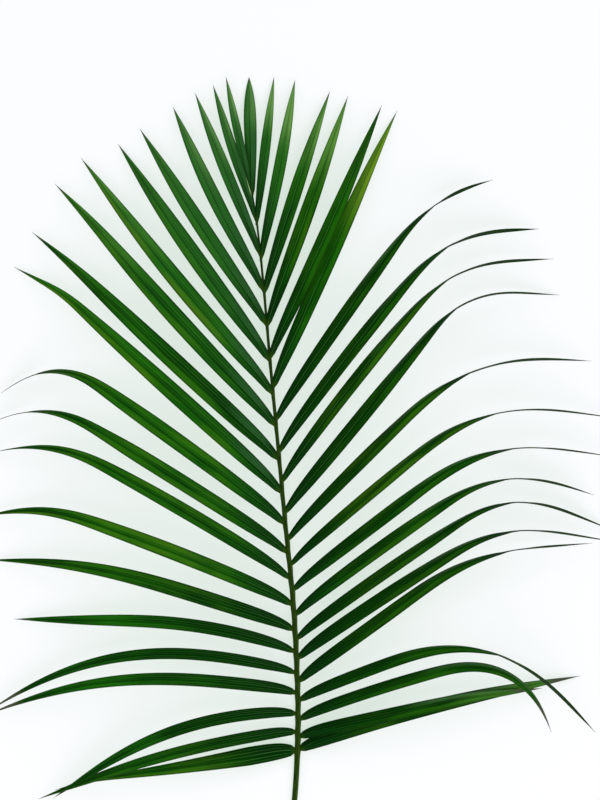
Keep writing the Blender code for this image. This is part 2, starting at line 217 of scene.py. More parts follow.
RIGHT_ROWS = (
    Row(579, -24, 723, 0, 0, 0.5, 0.8, 11.8),
    Row(543, -3, 720, 0, 3, 0.5, 0.8, 13.2, taper_power=2.8),
    Row(509, 32, 709, 0, -2, 0.7, 0.8, 14.3),
    Row(476, 50, 704, 0, 1, 0.5, 0.8, 15.5),
    Row(444, 84, 695, -1, 3, 0.5, 0.8, 15),
    Row(414, 99, 689, 0, -2, 0.85, 0.3, 16),
    Row(382, 195, 620, -6, -37, 0.82, 0.44, 13.8, edge=0.8, after=0.2),
    Row(350, 241, 571, -10, -43, 0.76, 0.38, 13.8, edge=0.74, after=0.3, taper_power=2.8),
    Row(320, 255, 541, -11, -42, 0.74, 0.36, 13, edge=0.71, after=0.4),
    Row(289, 261, 505, 0, -54, 0.76, 0.34, 14.5, edge=0.72),
    Row(262, 293, 439, -7, -43, 0.69, 0.52, 12.8, edge=0.67),
    Row(237, 318, 382, -7, -43, 0.66, 0.5, 12, edge=0.68, after=0.8),
    Row(212, 318, 343, -4, -43, 0.66, 0.5, 13.6, edge=0.71, after=1.0),
    Row(187, 296, 305, -9, -48, 0.73, 0.46, 13.4, edge=0.73, after=0.5),
    Row(163, 314, 270, -8, -52, 0.71, 0.38, 12.4, edge=0.7, after=0.5),
    Row(143.5, 318, 258, -8, -38, 0.68, 0.4, 13.6, edge=0.7, after=0.8),
    Row(120.5, 294, 257, 0, -32, 0.65, 0.5, 13.2, edge=0.74),
    Row(102, 297, 68, -10, -61, 0.59, 0.66, 12, edge=0.62, after=0.5),
    Row(83, 253, 68, -13, -80, 0.75, 0.56, 12, taper_power=2.0),
    Row(66, 244, 112, 0, -6, 0.7, 0.3, 13.5),
    Row(53, 282, 124, -5, -4, 0.5, 0.8, 15),
)
TERMINAL_ROW = Row(606, -49, 723, 0, 0, 0.5, 0.8, 15, taper_power=3.6)
LEAFLET_ROOTS = [(row, -1) for row in LEFT_ROWS] + [(row, 1) for row in RIGHT_ROWS]

# Leaflets that lie over or under a neighbour, and how far they bow up or down for it
BOW = {"R5": 9.0, "R6": -2.0, "R20": 8.0, "R21": -2.0, "R19": 8.0, "R18": 12.0,
       "L19": 13.0, "L20": 6.0, "L21": -2.0, "L1": 3.0, "terminal": -2.0}
# Tips that stay up because the leaflet crosses another one near its end
HELD_TIPS = {"R18": 12.0, "R19": 9.0, "R20": 6.0, "L19": 12.0, "L20": 6.0}
# Tips that the frond stands on, together with the flat of its stalk
RESTING = ("terminal", "L6", "L10", "L15", "R6", "R10", "R15", "L21", "R21")
FREE_TIP_HEIGHTS = (2.0, 8.0)
SEED = 11
WAVE_SEED = 29

# Places up the frond at which the leaflets' colours change, and over how much of it
TIP_GREENS_FROM_Y = 330.0
TIP_GREENS_OVER = 230.0
LOW_GREENS_BELOW_Y = 215.0
LOW_GREENS_OVER = 60.0
UPPER_LEFT_FROM_Y = 300.0
# where the bluish painted sheen begins on the right leaflets, and over how much
BLUE_FROM_Y = 480.0
BLUE_OVER = 90.0
CLEAR_RIB_FROM_Y = 250.0
CLEAR_RIB_OVER = 60.0
PALE_FROM_Y = 430.0
PALE_OVER = 60.0
# right leaflets that spring below this get the painted grey sheen
GREY_SHEEN_BELOW_Y = 400.0
LIGHT_SPREAD = 0.07       # how far single leaflets differ by chance
YELLOW_SPREAD = 0.08

# Leaflets that differ from their neighbours besides, and by how much, as leaf_tints tells it
TINT_CHANGES = (
    (("R9", "R11", "R12", "L7", "L14", "L21", "R4"), {"light": 0.1, "yellow": 0.3}),
    (("L1", "R1", "R2", "R6"), {"light": 0.3, "pale": 0.3}),
    (("R13", "R14", "R18", "R19"), {"light": 0.2, "yellow": 0.12, "pale": 0.2}),
    (("L9", "L17", "L19"), {"light": -0.25, "yellow": -0.3}),
    (("R20", "R21"), {"yellow": 0.12, "pale": 0.3, "dim": -0.35}),
)
# outer parts darker; on R19 this is painted shade where the blade turns towards its edge
DARK_ENDS = ("L5", "L6", "L9", "L10", "L11", "L14", "L15", "L20", "L21", "R5", "R7", "R8",
             "R19")
DARK_END_DIM = 0.2
DARK_END_PALE = 0.25      # share of their paleness that stays
GOLDEN_ENDS = ("R6",)
GREY_TIPS = ("L17", "L18", "R17", "R18", "R19", "R20", "R21")
GREY_TIP_REACH = 0.07     # how much of their length more is dry and grey
EDGE_BAND = 0.07          # part of its length over which a blade on edge gets painted shade


def smooth(t):
    """Ease from 0 to 1 as t runs from 0 to 1, for a number or an array."""
    t = np.clip(t, 0.0, 1.0)
    return t * t * (3.0 - 2.0 * t)


def rachis_x(y):
    """Sideways place of the rachis line, a smooth curve through RACHIS_LINE."""
    last = len(RACHIS_LINE) - 1
    k = 0
    while k < last - 1 and y > RACHIS_LINE[k + 1][0]:
        k += 1
    slopes = []
    for j in (k, k + 1):
        before = RACHIS_LINE[max(0, j - 1)]
        after = RACHIS_LINE[min(last, j + 1)]
        slopes.append((after[1] - before[1]) / (after[0] - before[0]))
    y0, x0 = RACHIS_LINE[k]
    y1, x1 = RACHIS_LINE[k + 1]
    span = y1 - y0
    t = (y - y0) / span
    curl = t * (1.0 - t) * span * (slopes[0] * (1.0 - t) - slopes[1] * t)
    return x0 + (x1 - x0) * smooth(t) + curl


def rachis_width(y):
    """Width of the rachis, even in the stalk and then narrowing to the tip."""
    part = max(0.0, y - TAPER_FROM_Y) / (RACHIS_END_Y - TAPER_FROM_Y)
    return STALK_WIDTH + (RACHIS_TIP_WIDTH - STALK_WIDTH) * part


def rachis_centre(y):
    """Centre of the rachis in space. Its underside is on the surface up to FLAT_END_Y."""
    lift = ARCH * smooth((y - FLAT_END_Y) / (ARCH_TOP_Y - FLAT_END_Y))
    lift *= 1.0 - TIP_SINK * smooth((y - ARCH_TOP_Y) / (RACHIS_END_Y - ARCH_TOP_Y))
    return np.array((rachis_x(y), y, lift + rachis_width(y) / 2.0))


def bent_line(start, end, row, side):
    """Line from start to end seen from above: an even sweep, and a turn about one place."""
    along = (np.arange(PLAN_STEPS) + 0.5) / PLAN_STEPS
    heading = math.radians(row.turn) * smooth((along - row.at) / row.over + 0.5)
    heading = heading + math.radians(row.sweep) * along
    x = np.concatenate(((0.0,), np.cumsum(np.cos(heading))))
    y = np.concatenate(((0.0,), np.cumsum(np.sin(heading))))
    out = (end[0] - start[0]) * side
    up = end[1] - start[1]
    scale = math.hypot(out, up) / math.hypot(x[-1], y[-1])
    turn = math.atan2(up, out) - math.atan2(y[-1], x[-1])
    cos = math.cos(turn) * scale
    sin = math.sin(turn) * scale
    return start[0] + side * (x * cos - y * sin), start[1] + x * sin + y * cos, scale * PLAN_STEPS


def stations(length):
    """Distances from the root at which a leaflet gets a cross-section."""
    root = np.arange(0.0, ROOT_ZONE, ROOT_STEP)
    count = max(FEWEST_STATIONS, round((length - ROOT_ZONE - TIP_ZONE) / STATION_STEP))
    middle = np.linspace(ROOT_ZONE, length - TIP_ZONE, count)
    left_over = 1.0 - np.linspace(0.0, 1.0, TIP_STATIONS + 1)[1:]
    tip = length - TIP_ZONE * left_over ** TIP_CROWDING
    return np.concatenate((root, middle, tip))


def half_width(distance, length, row):
    """Half the width of a leaflet: narrow at the root, widest before its middle, then tapering."""
    middle = smooth((row.root - MIDDLE_FROM_Y) / (MIDDLE_TO_Y - MIDDLE_FROM_Y))
    upper = smooth((row.root - UPPER_FROM_Y) / (UPPER_TO_Y - UPPER_FROM_Y))
    widening = LOWER_WIDENING + (MIDDLE_WIDENING - LOWER_WIDENING) * middle
    widening += (UPPER_WIDENING - MIDDLE_WIDENING) * upper
    widened = 1.0 - (1.0 - ROOT_SHARE) * np.exp(-distance / widening)
    past = np.maximum(0.0, distance / length - row.taper_from) / (1.0 - row.taper_from)
    tapered = 1.0 - past ** row.taper_power
    return np.maximum(TIP_HALF_WIDTH, row.width / 2.0 * widened * tapered)


def fold_angle(distance, length, side):
    """Slope of each half: steep at the root, even along the leaflet, flat near the tip."""
    middle = LEFT_FOLD_DEG if side < 0 else RIGHT_FOLD_DEG
    fold = middle + (ROOT_FOLD_DEG - middle) * np.exp(-distance / UNFOLDING_LENGTH)
    fold *= 1.0 - FLATTENING * smooth((distance / length - FLATTENING_FROM) / FLATTENING_OVER)
    return np.radians(fold)


def roll_angle(along, row):
    """Turn of the blade about its own line: 90 degrees where it stands on edge."""
    if not row.edge:
        return np.zeros_like(along)
    before = np.clip((row.edge - along) / EDGE_BEFORE, 0.0, 1.0) ** EDGE_SUDDEN
    after = np.clip((along - row.edge) / row.after, 0.0, 1.0)
    return math.radians(90.0) * (1.0 - before + after)


def leaflet_height(s, start_z, end_z, length, bow):
    """Height along a leaflet, which rises from its root and bends down to its tip."""
    rise = math.tan(math.radians(RISE_DEG)) * length
    fall = -math.tan(math.radians(FALL_DEG)) * length
    low = (2 * s ** 3 - 3 * s ** 2 + 1) * start_z + (3 * s ** 2 - 2 * s ** 3) * end_z
    curve = (s ** 3 - 2 * s ** 2 + s) * rise + (s ** 3 - s ** 2) * fall
    return low + curve + bow * 4.0 * s * (1.0 - s)


def slow_wave(distance, draw, wave):
    """Gentle irregular wave along a leaflet, a few sines with drawn phases."""
    total = np.zeros_like(distance)
    for wave_length in wave.lengths:
        phase = draw.uniform(0.0, 2.0 * math.pi)
        total += np.sin(2.0 * math.pi * distance / wave_length + phase)
    return wave.size * total / len(wave.lengths)


def still_ends(along):
    """Share of its waves that a leaflet shows: none at its root and tip."""
    return smooth(along / STILL_ROOT) * smooth((1.0 - along) / STILL_TIP)


def both_halves(half):
    """Places across the whole blade from the places across one half."""
    return np.array([-u for u in reversed(half[1:])] + list(half))


def bump(place, middle, reach):
    """Rounded rise of height 1 about middle, which ends at middle plus and minus reach."""
    return smooth(1.0 - np.abs(place - middle) / reach)


def blade_heights(half, folds, u, is_upper):
    """Heights across the free blade: two sloping halves with midrib, nerves and groove."""
    relief = np.minimum(1.0, half / FULL_RELIEF_HALF)[:, None]
    size = np.abs(u)
    slope = np.tan(np.where(u < 0.0, folds[0][:, None], folds[1][:, None]))
    rounded = np.sqrt(size ** 2 + FOLD_ROUNDING ** 2) - FOLD_ROUNDING
    height = half[:, None] * slope * (1.0 - rounded + HALF_BELLY * size * (1.0 - size))
    nerves = (bump(size, FIRST_NERVE, NERVE_REACH)
              + SECOND_NERVE_SHARE * bump(size, SECOND_NERVE, NERVE_REACH))
    rib = MIDRIB_RISE * bump(size, 0.0, MIDRIB_REACH)
    if is_upper:
        groove = GROOVE_DEPTH * bump(size, GROOVE_PLACE, MIDRIB_REACH)
        return height + relief * (rib + NERVE_RISE * nerves - groove)
    thick = MARGIN_THICKNESS + (RIB_THICKNESS - MARGIN_THICKNESS) * (1.0 - size) ** 2
    thick = thick * (NARROW_SHARE + (1.0 - NARROW_SHARE) * relief)
    return height - thick - relief * (LOWER_RIB_SHARE * rib + NERVE_RISE * nerves)


def blade_profile(half, folds, past_root):
    """Upper and lower outline of a blade, as (sideways, upwards) for every station.

    half is the half width and folds the slope of the left and right half, one for each
    station. past_root is 0 in the joint at the rachis and 1 in the free blade.
    """
    free = past_root[:, None]
    outlines = []
    for places, is_upper in ((both_halves(UPPER_HALF), True), (both_halves(LOWER_HALF), False)):
        u = places[None, :]
        blade = blade_heights(half, folds, u, is_upper)
        joint = np.sqrt(np.maximum(0.0, 1.0 - u ** 2)) * CUSHION_HALF_HEIGHT
        joint = joint if is_upper else -joint
        wide = half[:, None] * u
        narrow = CUSHION_HALF_WIDTH * u
        outlines.append((narrow + (wide - narrow) * free, joint + (blade - joint) * free))
    return outlines


def lowest_outer(points, distance, length):
    """Lowest height in the outer half of a leaflet, and how far out it is."""
    outer = np.where(distance[:, None] > length / 2.0, points[:, :, 2], np.inf)
    k = int(np.argmin(outer.min(axis=1)))
    return outer[k].min(), distance[k] / length


def settle(points, distance, length, wanted):
    """Raise or lower a leaflet's outer part until its lowest point is at the wanted height."""
    for _ in range(SETTLING_ROUNDS):
        lowest, along = lowest_outer(points, distance, length)
        points[:, :, 2] += (wanted - lowest) / along ** 2 * (distance[:, None] / length) ** 2


def leaflet_line(name, row, side, tip_height, draw):
    """Middle line of a leaflet in space, with the distances along it and its length."""
    root = rachis_centre(row.root)
    line_x, line_y, length = bent_line(root[:2], (row.tip_x, row.tip_y), row, side)
    distance = stations(length)
    along = distance / length
    line_along = np.linspace(0.0, 1.0, PLAN_STEPS + 1)
    height = leaflet_height(along, root[2], tip_height, length, BOW.get(name, 0.0))
    height = height + still_ends(along) * slow_wave(distance, draw, HEIGHT_WAVE)
    drop = ROOT_DROP * np.exp(-distance / ROOT_DROP_LENGTH)
    x = np.interp(along, line_along, line_x)
    y = np.interp(along, line_along, line_y) - drop
    return np.stack((x, y, height), axis=1), distance, length


def blade_axes(centre, distance, roll):
    """Directions across the blade and out of it at every station."""
    ahead = np.gradient(centre, distance, axis=0)
    ahead /= np.linalg.norm(ahead, axis=1)[:, None]
    sideways = np.cross(ahead, UP)
    sideways /= np.linalg.norm(sideways, axis=1)[:, None]
    upwards = np.cross(sideways, ahead)
    cos = np.cos(roll)[:, None]
    sin = np.sin(roll)[:, None]
    return sideways * cos + upwards * sin, upwards * cos - sideways * sin


def leaflet_points(name, row, side, tip_height, draw):
    """Every cross-section of one leaflet as points in space, with what its colours need."""
    centre, distance, length = leaflet_line(name, row, side, tip_height, draw)
    along = distance / length
    free = still_ends(along)
    roll = side * roll_angle(along, row) + free * slow_wave(distance, draw, ROLL_WAVE)
    across, out = blade_axes(centre, distance, roll)
    half = half_width(distance, length, row)
    fold = fold_angle(distance, length, side)
    folds = [fold + free * slow_wave(distance, draw, FOLD_WAVE) for _ in range(2)]
    upper, lower = blade_profile(half, folds, smooth(distance / CUSHION_LENGTH))
    faces = []
    for wide, high in (upper, lower):
        faces.append(centre[:, None, :] + across[:, None, :] * wide[:, :, None]
                     + out[:, None, :] * high[:, :, None])
    points = np.concatenate((faces[0], faces[1][:, ::-1, :]), axis=1)
    # A free leaflet stays above half the height of its tip
    wanted = 0.0 if name in RESTING else tip_height / 2.0
    if name in RESTING or lowest_outer(points, distance, length)[0] < wanted:
        settle(points, distance, length, wanted)
    return points, distance, length, half


def ring_faces(rows, count):
    """Quads between neighbouring rings of count points, and the two end caps."""
    faces = []
    for r in range(rows - 1):
        low = r * count
        high = low + count
        for k in range(count):
            after = (k + 1) % count
            faces.append((low + k, low + after, high + after, high + k))
    faces.append(tuple(range(count - 1, -1, -1)))
    faces.append(tuple(range((rows - 1) * count, rows * count)))
    return faces


def make_object(name, points, faces, attributes):
    """Mesh object in the row frame from points in the plan, in millimetres."""
    flat = points.reshape(-1, 3).copy()
    flat[:, 0] -= MIDDLE[0]
    flat[:, 1] -= MIDDLE[1]
    mesh = bpy.data.meshes.new(name)
    mesh.from_pydata((flat * MM).tolist(), [], faces)
    for key, values in attributes.items():
        layer = mesh.attributes.new(key, "FLOAT", "POINT")
        layer.data.foreach_set("value", np.asarray(values, dtype=np.float32).ravel())
    mesh.polygons.foreach_set("use_smooth", [True] * len(mesh.polygons))
    mesh.validate()
    mesh.update()
    item = bpy.data.objects.new(name, mesh)
    bpy.context.scene.collection.objects.link(item)
    return item


def dress(item, *materials):
    """Give a piece its materials and its place in the frame."""
    for material in materials:
        item.data.materials.append(material)
    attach(item, "root")
    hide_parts("frond")


def left_tints(root, near_tip):
    """Colour shares of a leaflet on the left that springs at root, as leaf_tints tells them."""
    low = float(smooth((LOW_GREENS_BELOW_Y - root) / LOW_GREENS_OVER))
    is_upper = root > UPPER_LEFT_FROM_Y
    return {
        "light": 0.56 - 0.24 * low,
        "yellow": 0.42 * (1.0 - near_tip) * (1.0 - 0.8 * low),
        "blue": near_tip,
        "lean": -1.0 if is_upper else 0.0,
        "shine": 1.0 if is_upper else 0.0,
        "rim": 1.0,
        "late": low,
        "rib": 0.18,
        "pale": 0.15 + 0.25 * near_tip if is_upper else 0.0,
        "dim": 0.0 if is_upper else 0.3,
        "grey_sheen": 0.0,
    }


def right_tints(root, near_tip):
    """The same for a leaflet on the right."""
    return {
        "light": 0.4 * near_tip,
        "yellow": 0.1 + 0.12 * near_tip,
        "blue": 0.6 * float(smooth((root - BLUE_FROM_Y) / BLUE_OVER)),
        "lean": 0.0,
        "shine": 0.0,
        "rim": 0.7,
        "late": 0.0,
        "rib": 0.14 + 0.36 * float(smooth((root - CLEAR_RIB_FROM_Y) / CLEAR_RIB_OVER)),
        "pale": 0.85 * float(smooth((root - PALE_FROM_Y) / PALE_OVER)),
        "dim": 0.0,
        "grey_sheen": 1.0 if root < GREY_SHEEN_BELOW_Y else 0.0,
    }


def leaf_tints(name, row, side, draw):
    """Shares of a leaflet's colours, by its place on the frond.

    light, yellow and blue are shares of those greens; the blue one is a painted sheen. lean is
    -1 where the half towards the stalk is the yellower one, which also has painted light on it:
    lighter over the inner half of its length, darker near its end. shine is 1 where the other
    half has a painted sheen near its root. rim is how much lighter the margins are than the
    middle, late how much this is only so further out, and rib how pale the midrib is. pale,
    dim and golden are how much the outer part is paler, darker or golden; part of the
    paleness is painted sheen. grey_sheen is 1 where the outer part of the tip-ward half has a
    painted grey sheen, and dry is how far the grey of the tip comes in.
    """
    near_tip = float(smooth((row.root - TIP_GREENS_FROM_Y) / TIP_GREENS_OVER))
    tints = left_tints(row.root, near_tip) if side < 0 else right_tints(row.root, near_tip)
    tints["light"] += draw.uniform(-LIGHT_SPREAD, LIGHT_SPREAD)
    tints["yellow"] += draw.uniform(-YELLOW_SPREAD, YELLOW_SPREAD)
    for names, changes in TINT_CHANGES:
        if name in names:
            for key, change in changes.items():
                tints[key] += change
    if name in DARK_ENDS:
        tints["pale"] *= DARK_END_PALE
        tints["dim"] += DARK_END_DIM
    tints["golden"] = 1.0 if name in GOLDEN_ENDS else 0.0
    tints["dry"] = GREY_TIP_REACH if name in GREY_TIPS else 0.0
    return tints


def edge_share(along, row):
    """How nearly the blade stands on edge, from 0 to 1, along a leaflet."""
    if not row.edge:
        return np.zeros_like(along)
    return np.exp(-((along - row.edge) / EDGE_BAND) ** 2)


def make_leaflet(name, row, side, tip_height, draw, materials):
    """One leaflet as a piece of its own."""
    points, distance, length, half = leaflet_points(name, row, side, tip_height, draw)
    rows, count = points.shape[:2]
    upper = both_halves(UPPER_HALF)
    lower = both_halves(LOWER_HALF)[::-1]
    places = np.concatenate((upper, lower))
    # With this sign, across is above 0 on the half towards the frond's tip on both sides
    across = np.repeat(places[None, :] * -side, rows, axis=0)
    tints = leaf_tints(name, row, side, draw)
    even = np.ones((rows, count))
    attributes = {
        "across": across,
        "across_mm": across * half[:, None],
        "along": even * (distance / length)[:, None],
        "out_mm": even * distance[:, None],
        "left": even * (1.0 if side < 0 else 0.0),
        "number": even * draw.uniform(0.0, 100.0),
        "on_edge": even * edge_share(distance / length, row)[:, None],
    }
    attributes.update((key, even * value) for key, value in tints.items())
    item = make_object("leaflet_" + name, points, ring_faces(rows, count), attributes)
    is_lower = [0] * len(item.data.polygons)
    for k in range((rows - 1) * count):
        if k % count >= len(upper) - 1:
            is_lower[k] = 1
    dress(item, *materials)
    item.data.polygons.foreach_set("material_index", is_lower)


def root_swelling(y, angles):
    """How much the nearest leaflet roots swell the rachis at y, from 0 to 1 around it."""
    swelling = np.zeros(RACHIS_POINTS)
    for row, side in LEAFLET_ROOTS:
        near = math.exp(-((y - row.root + ROOT_DROP) / NODE_LENGTH) ** 2)
        facing = np.maximum(0.0, side * np.cos(angles)) ** 2
        swelling = np.maximum(swelling, near * facing)
    return swelling


def rachis_reach(y, angles, swelling):
    """How far the skin lies from the centre of the rachis at y, all around it."""
    reach = rachis_width(y) / 2.0
    rachis_share = smooth((y - STALK_TOP_Y) / STALK_FADE)
    top = np.maximum(0.0, np.sin(angles)) ** RIDGE_NARROWING
    flank = np.abs(np.cos(angles)) ** GROOVE_NARROWING
    size = reach + top * (RIDGE_RISE * rachis_share - CHANNEL_DEPTH * (1.0 - rachis_share))
    size = size - flank * SIDE_GROOVE * rachis_share
    return size + NODE_RISE * swelling * reach / (STALK_WIDTH / 2.0)


def rachis_points():
    """Cross-sections of stalk and rachis, with a channel, side grooves and leaflet joints."""
    count = round((RACHIS_END_Y - CUT_Y) / RACHIS_STEP)
    ys = np.linspace(CUT_Y, RACHIS_END_Y, count + 1)
    angles = 2.0 * math.pi * (np.arange(RACHIS_POINTS) + 0.5) / RACHIS_POINTS
    rings = []
    joints = []
    for y in ys:
        centre = rachis_centre(y)
        ahead = np.array((rachis_x(y + 1.0) - rachis_x(y - 1.0), 2.0, 0.0))
        sideways = np.cross(ahead / np.linalg.norm(ahead), UP)
        swelling = root_swelling(y, angles)
        size = rachis_reach(y, angles, swelling)
        ring = (centre[None, :] + sideways[None, :] * (np.cos(angles) * size)[:, None]
                + UP[None, :] * (np.sin(angles) * size)[:, None])
        ring[:, 2] = np.maximum(ring[:, 2], centre[2] - rachis_width(y) / 2.0)
        rings.append(ring)
        joints.append(swelling)
    return np.array(rings), np.array(joints), ys, angles


def make_rachis(material):
    """Stalk and rachis as one piece, closed at both ends."""
    points, joints, ys, angles = rachis_points()
    even = np.ones(points.shape[:2])
    attributes = {
        "node": joints,
        "stem_mm": even * ys[:, None],
        "around": even * angles[None, :] / (2.0 * math.pi),
        "facing": even * np.cos(angles)[None, :],
    }
    item = make_object("rachis", points, ring_faces(*points.shape[:2]), attributes)
    dress(item, material)


class Nodes:
    """Short ways to add and link the nodes of one material.

    Each gives back the socket that holds its result, and takes sockets or plain values.
    """

    def __init__(self, name):
        self.material = bpy.data.materials.new(name)
        self.material.use_nodes = True
        self.tree = self.material.node_tree
        self.shader = self.tree.nodes["Principled BSDF"]

    def link(self, value, socket):
        """Lead another socket into this one, or set its value."""
        if hasattr(value, "is_linked"):
            self.tree.links.new(value, socket)
        else:
            socket.default_value = value

    def attribute(self, name):
        node = self.tree.nodes.new("ShaderNodeAttribute")
        node.attribute_name = name
        return node.outputs["Fac"]

    def math(self, operation, first, second=0.0, clamp=False):
        node = self.tree.nodes.new("ShaderNodeMath")
        node.operation = operation
        node.use_clamp = clamp
        self.link(first, node.inputs[0])
        self.link(second, node.inputs[1])
        return node.outputs[0]

    def plus(self, first, second, clamp=False):
        return self.math("ADD", first, second, clamp)

    def minus(self, first, second):
        return self.math("SUBTRACT", first, second)

    def times(self, first, second, clamp=False):
        return self.math("MULTIPLY", first, second, clamp)

    def ramp(self, value, low, high, to_low=0.0, to_high=1.0):
        """Value from low to high eased onto to_low to to_high, and held outside them."""
        node = self.tree.nodes.new("ShaderNodeMapRange")
        node.interpolation_type = "SMOOTHSTEP"
        self.link(value, node.inputs["Value"])
        for key, number in (("From Min", low), ("From Max", high),
                            ("To Min", to_low), ("To Max", to_high)):
            node.inputs[key].default_value = number
        return node.outputs["Result"]

    def line(self, value, place, core, reach, strength):
        """Line of the given strength where value is within core of place, gone at reach."""
        away = self.math("ABSOLUTE", self.minus(value, place))
        return self.ramp(away, core, reach, strength, 0.0)

    def vector(self, x, y, z):
        node = self.tree.nodes.new("ShaderNodeCombineXYZ")
        for value, socket in zip((x, y, z), node.inputs):
            self.link(value, socket)
        return node.outputs[0]

    def noise(self, vector, scale, detail=2.0, roughness=0.5):
        node = self.tree.nodes.new("ShaderNodeTexNoise")
        self.link(vector, node.inputs["Vector"])
        node.inputs["Scale"].default_value = scale
        node.inputs["Detail"].default_value = detail
        node.inputs["Roughness"].default_value = roughness
        return node.outputs["Fac"]

    def mix(self, share, first, second):
        """Colour between two colours, each a socket or (red, green, blue)."""
        node = self.tree.nodes.new("ShaderNodeMix")
        node.data_type = "RGBA"
        self.link(share, node.inputs["Factor"])
        for value, socket in ((first, node.inputs["A"]), (second, node.inputs["B"])):
            socket = [s for s in node.inputs if s.name == socket.name and s.type == "RGBA"][0]
            self.link(value if hasattr(value, "is_linked") else (*value, 1.0), socket)
        return [s for s in node.outputs if s.type == "RGBA"][0]

    def bump(self, height, strength, distance):
        node = self.tree.nodes.new("ShaderNodeBump")
        node.inputs["Strength"].default_value = strength
        node.inputs["Distance"].default_value = distance
        self.link(height, node.inputs["Height"])
        return node.outputs["Normal"]

    def set(self, key, value):
        """Give the shader one of its inputs."""
        self.link(value, self.shader.inputs[key])


def srgb(red, green, blue):
    """Linear colour from red, green and blue as a picture shows them, from 0 to 255."""
    return tuple(((c / 255.0 + 0.055) / 1.055) ** 2.4 if c > 10 else c / 255.0 / 12.92
                 for c in (red, green, blue))


# Colours of the leaflets above and below, of the rachis and of the scale
DARK_GREEN = srgb(1, 40, 0)
MID_GREEN = srgb(16, 90, 1)
YELLOW_GREEN = srgb(60, 100, 6)
# painted sheen: bluish-grey green where the upper leaflets catch the light
SHEEN_BLUE_GREEN = srgb(40, 86, 38)
ROOT_GREEN = srgb(2, 34, 6)
RIB_GREEN = srgb(58, 106, 46)
# painted shade beside the midrib
RIB_SHADE_GREEN = srgb(1, 38, 1)
EDGE_GREEN = srgb(4, 40, 2)
# painted sheen near the roots of the upper left leaflets
PAINTED_SHEEN_GREEN = srgb(38, 78, 40)
PALE_GREEN = srgb(88, 134, 56)
# painted sheen on the pale outer part of the upper leaflets
PALE_SHEEN_BLUE = srgb(92, 132, 72)
GOLDEN_GREEN = srgb(104, 136, 22)
# painted sheen, grey, on the outer tip-ward half of the right leaflets
SHEEN_GREY_GREEN = srgb(80, 104, 76)
MARGIN_GREEN = srgb(58, 84, 44)
DRY_TIP = srgb(64, 68, 52)
JOINT_OLIVE = srgb(34, 60, 6)
UNDER_GREEN = srgb(26, 58, 14)
UNDER_DARK = srgb(16, 46, 8)
UNDER_RIB = srgb(70, 96, 44)
UNDER_TIP = srgb(12, 26, 8)
# painted shade where a blade stands on edge
ON_EDGE_SHADE = srgb(22, 30, 26)
OLIVE = srgb(36, 60, 4)
DARK_OLIVE = srgb(14, 36, 1)
JOINT_GREEN = srgb(46, 64, 6)
SPECKLE_BROWN = srgb(60, 46, 20)
# painted light on the rachis's right flank
LIT_SIDE_GREEN = srgb(58, 82, 30)
PITH = srgb(178, 178, 120)
SCALE_GREEN = srgb(60, 90, 50)
SCALE_CREAM = srgb(130, 162, 104)


# What the colours of one leaflet's upper side share: places on it, sides and noises
Leaf = namedtuple("Leaf", "across size along out left right lean streaks fine patches")


def leaf_coordinates(n):
    """Coordinates stretched along a leaflet, in millimetres, apart for every leaflet."""
    return n.vector(n.attribute("across_mm"), n.times(n.attribute("out_mm"), 0.04),
                    n.attribute("number"))


def leaf_sockets(n):
    """Sockets of a leaflet's upper side. size is across without its sign."""
    across = n.attribute("across")
    out = n.attribute("out_mm")
    left = n.attribute("left")
    spot = leaf_coordinates(n)
    wide_spot = n.vector(n.times(across, 0.8), n.times(out, 0.018), n.attribute("number"))
    return Leaf(across=across, size=n.math("ABSOLUTE", across), along=n.attribute("along"),
                out=out, left=left, right=n.minus(1.0, left),
                lean=n.times(n.attribute("lean"), across),
                streaks=n.noise(spot, 0.55, 3.0, 0.6), fine=n.noise(spot, 2.6),
                patches=n.noise(wide_spot, 1.0))


def leaf_light(n, leaf):
    """How light the green is: patches, streaks, lighter margins, a dimmer end, painted light and
    shade on the halves.
    """
    light = n.plus(n.attribute("light"), n.times(n.minus(leaf.patches, 0.5), 1.05))
    light = n.plus(light, n.minus(leaf.streaks, 0.5))
    late = n.times(n.attribute("late"), n.ramp(leaf.along, 0.35, 0.65, 1.2, 0.0))
    rim = n.times(n.attribute("rim"), n.ramp(leaf.out, 30.0, 80.0, 0.1, 1.0))
    rim = n.times(rim, n.minus(1.0, late))
    light = n.plus(light, n.times(rim, n.ramp(leaf.size, 0.15, 0.55, -0.16, 0.08)))
    light = n.minus(light, n.times(late, 0.2))
    # painted light: the half towards the stalk of the upper left leaflets lighter, then darker
    # near the end
    light = n.plus(light, n.times(leaf.lean, n.ramp(leaf.along, 0.5, 0.8, 0.26, -0.25)))
    # painted shade: the tip-ward half of the right leaflets darker, most near the root
    shade = n.ramp(leaf.across, 0.1, 0.6, 0.0, 0.2)
    shade = n.times(shade, n.ramp(leaf.along, 0.2, 0.5, 1.0, 0.2))
    light = n.minus(light, n.times(leaf.right, shade))
    light = n.minus(light, n.times(n.attribute("dim"), n.ramp(leaf.along, 0.6, 0.85)))
    return n.plus(light, n.ramp(leaf.along, 0.1, 0.75, -0.12, 0.22), clamp=True)


def leaf_warmth(n, leaf):
    """How yellow the green is: in patches, more towards the margins, less near the root."""
    warm = n.plus(n.ramp(leaf.size, 0.1, 0.6, 0.2, 1.0), n.times(leaf.lean, 1.2))
    warm = n.times(n.attribute("yellow"), warm, clamp=True)
    warm = n.times(warm, n.ramp(leaf.patches, 0.3, 0.62))
    return n.times(warm, n.ramp(leaf.out, 30.0, 110.0), clamp=True)


